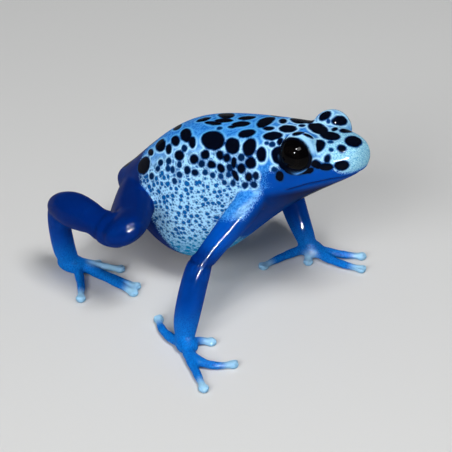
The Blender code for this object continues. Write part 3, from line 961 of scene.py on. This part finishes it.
# where the blues change: most pairs are the start and the full end of a change, counted
# along the body, in height, from the shoulder or floor, or for Facing as the cosine from
# straight up. The Shine pairs are a least share and what is added to it.
blues = {
    "limbEdge": (0.35, -0.35),
    "shoulder": (26.6, 7.0, -4.6),
    "armSky": (3.2, 6.0),
    "armBlue": (2.8, 8.0),
    "armVivid": (13.0, 6.0),
    "paleFrom": (6.0, 11.0),
    "paleLean": 0.15,
    "cheekFrom": (26.5, 36.0),
    "cheekHeight": (2.6, -0.4),
    "chestFrom": (18.0, 24.0),
    "chestHeight": (-4.0, -7.0),
    "throatFrom": (28.8, 31.8),
    "throatLean": 0.6,
    "throatHeight": (-0.6, -3.0),
    "snoutFrom": (41.5, 44.5),
    "snoutLean": 0.5,
    "snoutLevel": -1.0,
    "snoutHeight": (-2.8, -1.6),
    "bellyHeight": (-7.5, -13.5),
    "floorReach": 15.0,
    "armShine": (0.20, 0.80),
    "legShine": (0.06, 1.15),
    "legPower": 1.1,
    "bodyShine": (0.15, 0.75),
    "bodyFrom": (8.0, 26.0),
    "flankFacing": (0.75, 0.35),
    "flankFrom": (31.5, 28.0),
    "dimFacing": (0.60, 0.92),
    "dimFrom": (34.0, 30.0),
    # the jaw pairs place painted shade on the downward faces under the jaw
    "jawHeight": (-2.5, -4.1),
    "jawFrom": (18.0, 38.0),
    "jawFacing": (0.4, -0.5),
    "tipLength": (2.5, 0.1),
    # pawLightHeight sets how far off the floor the painted light on hands and feet reaches
    "pawLightHeight": (8.0, 1.5),
    "wrapMiddle": -3.0,
    "wrapRadius": 9.5,
    "wrapApart": 40.0,
    "dotHeight": (-6.0, 4.0),
}


def change(name, value):
    return smoothStep(*blues[name], value)


def toTips(points):
    # the digits pale toward their tips, one toe of each foot along most of its length
    nearest = np.full(len(points), np.inf)
    for name in paws:
        for number, row in enumerate(digits[name][1]):
            root = at(row[0], row[1], digits["tipHeight"])
            tip = at(row[2], row[3], digits["tipHeight"])
            run = digits["paleRun" if (name, number) in digits["paleToes"] else "plainRun"]
            nearest = np.minimum(nearest, distanceToPath(points, (tip, tip.lerp(root, run))) / mm)
    return nearest


def markBlues(flesh, trees):
    mesh = flesh.data
    points = pointsOf(mesh)
    place = toOneSide(points)
    along, left, height = place.T
    offFloor = points[:, 2] / mm
    upward = bodyNormalsOf(mesh)[:, 2]
    reach = {
        name: np.array([tree.find_nearest(Vector(point))[3] for point in points]) / mm
        for name, tree in trees.items()
    }
    toArms, toLegs = [change("limbEdge", reach[name] - reach["body"]) for name in ("arms", "legs")]
    # the pale skin runs a little way down the upper arm
    shoulder = distanceTo(place, blues["shoulder"])
    armSky = toArms * change("armSky", shoulder)
    toArms *= change("armBlue", shoulder)
    limbShare = np.maximum(toArms, toLegs)
    trunkShare = 1 - limbShare
    cheek = change("cheekFrom", along) * change("cheekHeight", height)
    chest = change("chestFrom", along) * change("chestHeight", height)
    throatLean = blues["throatLean"] * (height - blues["throatHeight"][1])
    throat = change("throatFrom", along - throatLean) * change("throatHeight", height)
    snoutLean = blues["snoutLean"] * (height - blues["snoutLevel"])
    snout = change("snoutFrom", along + snoutLean) * change("snoutHeight", height)
    blueFront = np.maximum(cheek, np.maximum(chest, throat)) * (1 - snout)
    pale = change("paleFrom", along + blues["paleLean"] * height) * (1 - blueFront)
    # limbs are most vivid near the floor and the shoulder, the body toward the head
    floorShare = np.clip(1.0 - offFloor / blues["floorReach"], 0.0, 1.0)
    armLeast, armGain = blues["armShine"]
    legLeast, legGain = blues["legShine"]
    legVivid = legLeast + legGain * floorShare ** blues["legPower"]
    vivid = np.where(toArms > 0.5, armLeast + armGain * floorShare, legVivid)
    vivid = np.maximum(vivid, change("armVivid", shoulder)) * limbShare
    bodyLeast, bodyGain = blues["bodyShine"]
    vivid += trunkShare * (bodyLeast + bodyGain * change("bodyFrom", along))
    # painted shade: downward faces under the jaw are painted navy
    underJawShade = change("jawHeight", height) * change("jawFrom", along) * change("jawFacing", upward)
    shares = {
        "pale": pale * trunkShare,
        "vivid": np.clip(vivid, 0, 1),
        "snout": snout * trunkShare,
        "belly": change("bellyHeight", height) * trunkShare,
        "flank": change("flankFacing", upward) * change("flankFrom", along) * (1 - armSky),
        "dim": change("dimFacing", upward) * change("dimFrom", along),
        "jawShade": underJawShade * trunkShare,
        "tip": change("tipLength", toTips(points)) * limbShare,
        # painted light: wrists, hands and toes are painted a paler blue, as if lit
        "pawLight": change("pawLightHeight", offFloor) * limbShare,
        "dotRoom": change("dotHeight", height),
    }
    for name, share in shares.items():
        storeValue(mesh, name, share)
    # a flat map of the sides: along the body, and round it from the back down
    around = np.arctan2(left, height - blues["wrapMiddle"]) * blues["wrapRadius"]
    around += np.where(toBody(points)[:, 1] > 0, blues["wrapApart"], 0.0)
    storeVectors(mesh, "wrap", np.stack((along, around, 0 * along), axis=1) * mm)
    print("blues marked")
    return limbShare


class Shading:
    # a material's node tree; its calls take sockets, numbers or the names of looks
    def __init__(self, name, looks):
        self.looks = looks
        self.material = bpy.data.materials.new(name)
        self.material.use_nodes = True
        self.tree = self.material.node_tree
        self.shader = self.tree.nodes["Principled BSDF"]
        self.objectPlace = self.tree.nodes.new("ShaderNodeTexCoord").outputs["Object"]

    def put(self, socket, value):
        if hasattr(value, "is_output"):
            self.tree.links.new(value, socket)
        else:
            socket.default_value = self.looks[value] if isinstance(value, str) else value

    def node(self, kind, inputs, **settings):
        made = self.tree.nodes.new("ShaderNode" + kind)
        for key, value in settings.items():
            setattr(made, key, value)
        for key, value in inputs.items():
            self.put(made.inputs[key], value)
        return made.outputs

    def attribute(self, name, output="Fac"):
        return self.node("Attribute", {}, attribute_name=name)[output]

    def maths(self, operation, first, second=0.0):
        return self.node("Math", {0: first, 1: second}, operation=operation)[0]

    def plus(self, first, second):
        return self.maths("ADD", first, second)

    def minus(self, first, second):
        return self.maths("SUBTRACT", first, second)

    def times(self, first, second):
        return self.maths("MULTIPLY", first, second)

    def larger(self, first, second):
        return self.maths("MAXIMUM", first, second)

    def length(self, first, second):
        return self.maths("SQRT", self.plus(self.times(first, first), self.times(second, second)))

    def swing(self, noise, amount):
        # noise turned to values on both sides of zero
        return self.times(self.minus(noise, 0.5), amount)

    def step(self, value, edges):
        low, high = self.looks[edges]
        inputs = {"Value": value, "From Min": low, "From Max": high}
        return self.node("MapRange", inputs, interpolation_type="SMOOTHSTEP")["Result"]

    def mix(self, share, first, second):
        return self.node("Mix", {0: share, 6: first, 7: second}, data_type="RGBA")[2]

    def noise(self, name):
        size, detail, roughness = self.looks[name]
        inputs = {
            "Vector": self.objectPlace,
            "Scale": 1 / (size * mm),
            "Detail": detail,
            "Roughness": roughness,
        }
        return self.node("TexNoise", inputs)["Fac"]

    def cells(self, name, feature, place=None):
        # on a flat map the cells are two-dimensional
        size, randomness = self.looks[name]
        dimensions = "2D" if place else "3D"
        inputs = {
            "Vector": place or self.objectPlace,
            "Scale": 1 / (size * mm),
            "Randomness": randomness,
        }
        made = self.node("TexVoronoi", inputs, voronoi_dimensions=dimensions, feature=feature)
        return made["Distance"], made["Color"]

    def bump(self, height, depth, normal=None):
        inputs = {"Strength": 1.0, "Distance": self.looks[depth] * mm, "Height": height}
        if normal is not None:
            inputs["Normal"] = normal
        return self.node("Bump", inputs)["Normal"]

    def surface(self, colour):
        # the gloss is the same all over
        self.put(self.shader.inputs["Base Color"], colour)
        for name, value in self.looks["gloss"].items():
            self.shader.inputs[name].default_value = value


# the skin's colours and gloss: the values are colours, sizes, shares or the two ends of a
# step; noises are size, detail and roughness, and cells are size and randomness
skinLook = {
    # shadeNavy is painted shade, under the jaw and in the folds, mouth groove and nostrils
    "shadeNavy": (0.0002, 0.006, 0.050, 1.0),
    "deepBlue": (0.0002, 0.016, 0.14, 1.0),
    "vividBlue": (0.0004, 0.066, 0.40, 1.0),
    "pawLightBlue": (0.005, 0.20, 0.66, 1.0),
    "midBlue": (0.006, 0.14, 0.58, 1.0),
    "skyBlue": (0.06, 0.33, 0.82, 1.0),
    "backNet": (0.09, 0.40, 0.82, 1.0),
    "paleBlue": (0.42, 0.76, 1.0, 1.0),
    "snoutBlue": (0.10, 0.38, 0.62, 1.0),
    "snoutPaleSheen": (0.38, 0.70, 0.84, 1.0),
    "lidBlue": (0.12, 0.40, 0.95, 1.0),
    "dotBlue": (0.003, 0.10, 0.36, 1.0),
    "bellyBlue": (0.004, 0.24, 0.50, 1.0),
    "spotBlack": (0.0008, 0.002, 0.007, 1.0),
    "spotBlue": (0.001, 0.028, 0.12, 1.0),
    "haloBlue": (0.004, 0.06, 0.26, 1.0),
    "tipBlue": (0.36, 0.64, 0.82, 1.0),
    "fleck": (0.42, 3.0, 0.6),
    "speckle": (0.20, 3.0, 0.7),
    "wobble": 0.30,
    "drift": (2.6, 2.0, 0.5),
    "driftAmount": 0.55,
    "vividEdge": (0.0, 1.0),
    "paleFlecks": 4.0,
    "paleMost": 1.6,
    "paleEdge": (0.30, 0.62),
    "midToSky": (0.30, 0.70),
    "netEdge": (0.714, 0.252),
    "netFlank": 0.95,
    "snoutSheenFlecks": (0.36, 0.60),
    "snoutEdge": (0.20, 0.45),
    "dots": (0.98, 0.85),
    "dotSmall": 0.33,
    "dotGrowth": 0.07,
    "dotLeast": 0.45,
    "dotSoft": (0.10, -0.10),
    "dotClear": (0.05, 0.45),
    "fineDots": (0.52, 0.9),
    "fineDotEdge": 0.30,
    "fineDotShare": 0.6,
    "specks": (0.50, 0.64),
    "speckShare": 0.45,
    "bellyEdge": (0.25, 0.6),
    "pawSparkleEdge": (0.30, 0.62),
    "rimHighlightShare": 0.75,
    "waver": (0.9, 2.0, 0.5),
    "waverAmount": 0.35,
    "haloEdge": (0.30, 0.02),
    "spotSoft": (0.10, -0.10),
    "creaseShadeShare": 0.85,
    "grain": (0.34, 1.0),
    "grainLeast": 0.25,
    "grainDepth": 0.05,
    "ripple": (1.6, 2.0, 0.5),
    "rippleDepth": 0.05,
    "gloss": {
        "Roughness": 0.42,
        "Specular IOR Level": 0.0,
        "Coat Weight": 0.18,
        "Coat IOR": 1.33,
        "Coat Roughness": 0.05,
    },
}


def dotsOf(look, flank, belly, edge, wobble):
    # small dots of the flank, smaller lower down, with finer ones between
    wrap = look.attribute("wrap", "Vector")
    dots, chance = look.cells("dots", "F1", wrap)
    dotEdge = look.plus("dotSmall", look.times(look.attribute("dotRoom"), "dotGrowth"))
    dotEdge = look.times(dotEdge, look.plus("dotLeast", chance))
    dotShare = look.step(look.minus(look.plus(dots, wobble), dotEdge), "dotSoft")
    fineDots = look.cells("fineDots", "F1", wrap)[0]
    fineEdge = look.minus(look.plus(fineDots, wobble), "fineDotEdge")
    fineShare = look.times(look.step(fineEdge, "dotSoft"), "fineDotShare")
    dotShare = look.times(look.larger(dotShare, fineShare), flank)
    dotShare = look.times(dotShare, look.step(edge, "dotClear"))
    return dotShare, look.mix(belly, "dotBlue", "bellyBlue")


def makeSkinMaterial():
    look = Shading("wetBlueSkin", skinLook)
    pale, vivid, flank, belly, edge = [
        look.attribute(name) for name in ("pale", "vivid", "flank", "belly", "spotEdge")
    ]
    fleck = look.noise("fleck")
    speckle = look.noise("speckle")
    wobble = look.swing(fleck, "wobble")
    # deep to vivid blue, mottled
    drift = look.swing(look.noise("drift"), "driftAmount")
    vividShare = look.step(look.plus(vivid, drift), "vividEdge")
    blue = look.mix(vividShare, "deepBlue", "vividBlue")
    # pale skin breaks up into flecks at its edge
    fleckReach = look.maths("MINIMUM", look.times(pale, "paleFlecks"), "paleMost")
    paleShare = look.step(look.plus(pale, look.swing(speckle, fleckReach)), "paleEdge")
    skyShare = look.step(fleck, "midToSky")
    between = look.mix(skyShare, "midBlue", "skyBlue")
    # a pale net runs round the black spots, whiter down the flank
    netShare = look.step(look.plus(edge, wobble), "netEdge")
    netShare = look.larger(netShare, look.times(flank, "netFlank"))
    netColour = look.mix(look.attribute("dim"), "paleBlue", "backNet")
    paleSkin = look.mix(netShare, between, netColour)
    # the snout's pale flecks are partly its own paler skin and partly painted highlight
    snoutSheenFlecks = look.step(speckle, "snoutSheenFlecks")
    snoutSkin = look.mix(snoutSheenFlecks, "snoutBlue", "snoutPaleSheen")
    snoutShare = look.times(look.attribute("snout"), look.step(fleck, "snoutEdge"))
    paleSkin = look.mix(snoutShare, paleSkin, snoutSkin)
    specks = look.times(look.times(look.step(speckle, "specks"), flank), "speckShare")
    paleSkin = look.mix(specks, paleSkin, "skyBlue")
    dotShare, dotColour = dotsOf(look, flank, belly, edge, wobble)
    paleSkin = look.mix(dotShare, paleSkin, dotColour)
    bellyShare = look.times(belly, look.step(fleck, "bellyEdge"))
    paleSkin = look.mix(bellyShare, paleSkin, "bellyBlue")
    # painted light and painted sparkle: pale flecks on the hands, wrists and toes
    pawLight = look.times(look.attribute("pawLight"), look.step(speckle, "pawSparkleEdge"))
    blue = look.mix(pawLight, blue, "pawLightBlue")
    # painted shade under the jaw
    blue = look.mix(look.attribute("jawShade"), blue, "shadeNavy")
    colour = look.mix(paleShare, blue, paleSkin)
    # black spots have a thin dark blue edge
    spotEdge = look.plus(edge, look.swing(look.noise("waver"), "waverAmount"))
    spotColour = look.mix(look.attribute("spotTone"), "spotBlack", "spotBlue")
    for share, coat in (
        (look.attribute("tip"), "tipBlue"),
        # pale upper lid rim, partly painted highlight
        (look.times(look.attribute("paleRimHighlight"), "rimHighlightShare"), "paleBlue"),
        (look.step(spotEdge, "haloEdge"), "haloBlue"),
        (look.step(spotEdge, "spotSoft"), spotColour),
        # painted shade in the folds, the mouth groove and the nostrils
        (look.times(look.attribute("creaseShade"), "creaseShadeShare"), "shadeNavy"),
        (look.attribute("margin"), "spotBlack"),
        (look.attribute("lidLine"), "lidBlue"),
    ):
        colour = look.mix(share, colour, coat)
    look.surface(colour)
    grain = look.cells("grain", "SMOOTH_F1")[0]
    grainHeight = look.times(grain, look.plus("grainLeast", flank))
    normal = look.bump(grainHeight, "grainDepth")
    ripple = look.noise("ripple")
    normal = look.bump(ripple, "rippleDepth", normal)
    look.put(look.shader.inputs["Normal"], normal)
    # the wet film lies smoother than the grain under it
    look.put(look.shader.inputs["Coat Normal"], look.bump(ripple, "rippleDepth"))
    return look.material


# the eye's parts and gloss
eyeLook = {
    "pupilBlack": (0.0008, 0.0006, 0.0008, 1.0),
    "irisBrown": (0.0015, 0.0012, 0.0012, 1.0),
    "irisGlint": (0.005, 0.0035, 0.003, 1.0),
    "pupilWidth": 1.15,
    "pupilHeight": 0.85,
    "pupilSoft": (1.06, 0.94),
    "irisFleck": (0.22, 4.0, 0.7),
    "irisFlecks": (0.45, 0.75),
    "irisEdge": (1.55, 1.9),
    "corneaRise": 0.16,
    "corneaRadius": 1.7,
    "corneaPower": 4,
    "gloss": {
        "Roughness": 0.25,
        "Specular IOR Level": 0.0,
        "Coat Weight": 0.12,
        "Coat Roughness": 0.02,
    },
}


def makeEye(name, side):
    centre, way = eyeCentre(side), eyeWay(side)
    eye = roundBall(name, "eyeSides", "eyeRings", eyes["radius"] * mm)
    eye.data.name = name
    # the ball's pole looks out through the opening, its side axis lies level
    level = upWay.cross(way).normalized()
    turn = Matrix((level, way.cross(level), way)).transposed().to_4x4()
    outlook = []
    for corner in eye.data.vertices:
        spread = math.hypot(corner.co.x, corner.co.y) / mm
        if corner.co.z > 0:
            rise = math.exp(-((spread / eyeLook["corneaRadius"]) ** eyeLook["corneaPower"]))
            corner.co *= 1 + eyeLook["corneaRise"] / eyes["radius"] * rise
        outlook.append((corner.co.x / mm, corner.co.y / mm, 1.0 if corner.co.z > 0 else 0.0))
    storeVectors(eye.data, "outlook", outlook)
    eye.data.transform(Matrix.Translation(centre) @ turn)
    makeActive(eye)
    bpy.ops.object.shade_smooth()
    return eye


def makeEyeMaterial():
    look = Shading("wetBlackEye", eyeLook)
    across, along, front = look.node("SeparateXYZ", {0: look.attribute("outlook", "Vector")})
    pupilAcross = look.maths("DIVIDE", across, "pupilWidth")
    pupilAlong = look.maths("DIVIDE", along, "pupilHeight")
    pupilShare = look.step(look.length(pupilAcross, pupilAlong), "pupilSoft")
    fleckShare = look.step(look.noise("irisFleck"), "irisFlecks")
    colour = look.mix(fleckShare, "irisBrown", "irisGlint")
    rimShare = look.step(look.length(across, along), "irisEdge")
    colour = look.mix(rimShare, colour, "pupilBlack")
    colour = look.mix(pupilShare, colour, "pupilBlack")
    colour = look.mix(front, "pupilBlack", colour)
    look.surface(colour)
    return look.material


# floor, lights and the air around, with lengths in metres; directions are turn and rise
floorLook = {
    "size": 30.0,
    "colour": (0.64, 0.64, 0.63, 1.0),
    "gloss": {"Roughness": 0.85},
}
studio = {
    "worldColour": (0.86, 0.90, 0.96, 1.0),
    "worldStrength": 0.12,
    "aimHeight": 0.012,
    "keyLight": {"distance": 0.5, "size": 0.16, "power": 1.65},
    "keyWay": (-26.0, 66.0),
    "fillLight": {"distance": 0.7, "size": 0.3, "power": 2.8},
    "fillWay": (-88.0, 32.0),
    "strip": {"distance": 0.45, "size": 0.28, "power": 34.0},
    "stripWide": 0.012,
    "stripEnds": ((-66.0, 12.0), (-30.0, 32.0)),
    "glint": {"distance": 0.32, "size": 0.018, "power": 1.2},
    "eyeGlints": ((-58, 70), (-71, 47)),
    "skinGlints": ((-35, 68), (-86, 69), (0, 69)),
}


def makeFloor():
    deselectAll()
    bpy.ops.mesh.primitive_plane_add(size=floorLook["size"], location=(0, 0, 0))
    floor = bpy.context.object
    floor.name = "floor"
    look = Shading("paleFloor", floorLook)
    look.surface("colour")
    floor.data.materials.append(look.material)


def wayOut(azimuth, rise):
    # azimuth 0 looks out over the -Y side, and grows toward +X
    turn, height = math.radians(azimuth), math.radians(rise)
    return Vector((
        math.sin(turn) * math.cos(height), -math.cos(turn) * math.cos(height), math.sin(height)
    ))


def addLight(name, azimuth, rise):
    away = wayOut(azimuth, rise)
    place = Vector((0.0, 0.0, studio["aimHeight"])) + away * studio[name]["distance"]
    bpy.ops.object.light_add(type="AREA", location=place)
    lamp = bpy.context.object
    lamp.name = name
    lamp.data.size = studio[name]["size"]
    lamp.data.energy = studio[name]["power"]
    lamp.rotation_euler = away.to_track_quat("Z", "Y").to_euler()
    bpy.context.view_layer.update()
    return lamp


def makeStudio(skin):
    world = bpy.data.worlds.new("paleAir")
    world.use_nodes = True
    air = world.node_tree.nodes["Background"]
    air.inputs["Color"].default_value = studio["worldColour"]
    air.inputs["Strength"].default_value = studio["worldStrength"]
    bpy.context.scene.world = world
    addLight("keyLight", *studio["keyWay"])
    addLight("fillLight", *studio["fillWay"]).visible_glossy = False
    skinOnly = bpy.data.collections.new("skinOnly")
    skinOnly.objects.link(skin)
    # small lights that only draw wet glints
    for way in studio["eyeGlints"] + studio["skinGlints"]:
        glint = addLight("glint", *way)
        glint.visible_diffuse = False
        if way in studio["skinGlints"]:
            glint.light_linking.receiver_collection = skinOnly
    # a long narrow light draws the wet streak down the near arm, and stays out of the eyes
    lowEnd, highEnd = [wayOut(*end) for end in studio["stripEnds"]]
    strip = addLight("strip", *[sum(pair) / 2 for pair in zip(*studio["stripEnds"])])
    strip.data.shape = "RECTANGLE"
    strip.data.size_y = studio["stripWide"]
    away = strip.matrix_world.to_3x3().col[2].normalized()
    longWay = highEnd - lowEnd
    longWay = (longWay - away * longWay.dot(away)).normalized()
    strip.rotation_euler = Matrix((longWay, away.cross(longWay), away)).transposed().to_euler()
    strip.light_linking.receiver_collection = skinOnly
    strip.visible_diffuse = False
    bpy.context.scene.view_settings.view_transform = "Standard"


camera = makeCamera()
skin, trees = makeFlesh()
refineHead(skin)
shapeLids(skin)
shapeFolds(skin, shapeFace(skin))
layOnFloor(skin)
limbShare = markBlues(skin, trees)
markSpots(skin, camera, limbShare)
skin.data.materials.clear()
skin.data.materials.append(makeSkinMaterial())
makeActive(skin)
bpy.ops.object.shade_smooth()
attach(skin, "root")
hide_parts(*fleshNodes)
print("skin done")

eyeMaterial = makeEyeMaterial()
for side, name, node in ((-1, "eyeRight", "eye_right"), (1, "eyeLeft", "eye_left")):
    eye = makeEye(name, side)
    eye.data.materials.append(eyeMaterial)
    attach(eye, "root")
    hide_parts(node)
print("eyes done")

makeFloor()
makeStudio(skin)
print("studio done")
